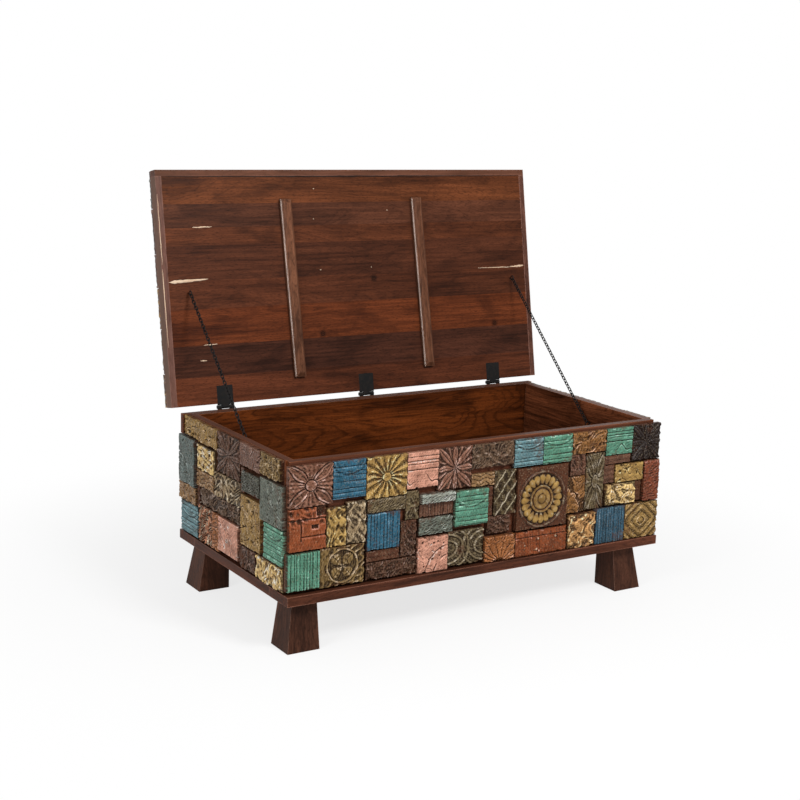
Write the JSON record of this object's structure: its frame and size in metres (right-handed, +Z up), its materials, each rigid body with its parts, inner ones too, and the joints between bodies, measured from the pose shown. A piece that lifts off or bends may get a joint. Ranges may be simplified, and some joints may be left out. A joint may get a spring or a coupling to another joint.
{
  "type": "trunk coffee table",
  "caption": "Low storage trunk used as a coffee table: carved, painted block cladding on a wooden box with flared legs and a hinged plank lid held open by chains.",
  "frame": {"origin": "on the floor, under the middle of the open trunk's bounding box", "axes": "+X along the length to the right seen from the front, +Y to the back where the hinges are, +Z up"},
  "size_m": [1.205, 0.781, 1.1096],
  "materials": {
    "trunk_wood": "waxed dark red-brown hardwood",
    "lid_wood": "waxed red-brown planks",
    "black_iron": "black lacquered iron",
    "paint_blue": "carved wood with worn, rubbed blue paint",
    "paint_sea_green": "carved wood with worn, rubbed sea green paint",
    "paint_pink": "carved wood with worn, rubbed pink paint",
    "paint_ochre": "carved wood with worn, rubbed ochre paint",
    "paint_cream": "carved wood with worn, rubbed cream paint",
    "paint_red": "carved wood with worn, rubbed red paint",
    "paint_brown": "carved wood with worn, rubbed brown paint",
    "paint_olive": "carved wood with worn, rubbed olive paint"
  },
  "bodies": {
    "box": {"back_panel": "trunk_wood", "base_rail_back": "trunk_wood", "base_rail_front": "trunk_wood", "base_rail_left": "trunk_wood", "base_rail_right": "trunk_wood", "box_eye_left": "black_iron", "box_eye_right": "black_iron", "box_tiles_blue": "paint_blue", "box_tiles_brown": "paint_brown", "box_tiles_cream": "paint_cream", "box_tiles_ochre": "paint_ochre", "box_tiles_olive": "paint_olive", "box_tiles_pink": "paint_pink", "box_tiles_red": "paint_red", "box_tiles_sea_green": "paint_sea_green", "chain_left": "black_iron", "chain_right": "black_iron", "floor_board_1": "trunk_wood", "floor_board_2": "trunk_wood", "floor_board_3": "trunk_wood", "floor_board_4": "trunk_wood", "front_panel": "trunk_wood", "hinge_box_leaves": "black_iron", "hinge_box_screws": "black_iron", "hinge_pins": "black_iron", "hinge_rail": "trunk_wood", "left_panel": "trunk_wood", "leg_back_left": "trunk_wood", "leg_back_right": "trunk_wood", "leg_front_left": "trunk_wood", "leg_front_right": "trunk_wood", "leg_screws": "black_iron", "right_panel": "trunk_wood"},
    "lid": {"batten_left": "lid_wood", "batten_right": "lid_wood", "hinge_lid_leaves": "black_iron", "hinge_lid_screws": "black_iron", "lid_eye_left": "black_iron", "lid_eye_right": "black_iron", "lid_lipping_front": "lid_wood", "lid_lipping_left": "lid_wood", "lid_lipping_right": "lid_wood", "lid_plank_1": "lid_wood", "lid_plank_2": "lid_wood", "lid_plank_3": "lid_wood", "lid_plank_4": "lid_wood", "lid_plank_5": "lid_wood", "lid_plank_6": "lid_wood", "lid_plank_7": "lid_wood", "lid_plank_8": "lid_wood", "lid_tiles_blue": "paint_blue", "lid_tiles_brown": "paint_brown", "lid_tiles_cream": "paint_cream", "lid_tiles_ochre": "paint_ochre", "lid_tiles_olive": "paint_olive", "lid_tiles_pink": "paint_pink", "lid_tiles_red": "paint_red", "lid_tiles_sea_green": "paint_sea_green"}
  },
  "joints": [
    {"name": "lid_hinge", "type": "hinge", "parent": "box", "child": "lid", "pos_m": [0, 0.23397, 0.4795], "axis": [1, 0, 0], "range_deg": [0, 100.3], "deforming": ["chain_left", "chain_right"]}
  ]
}
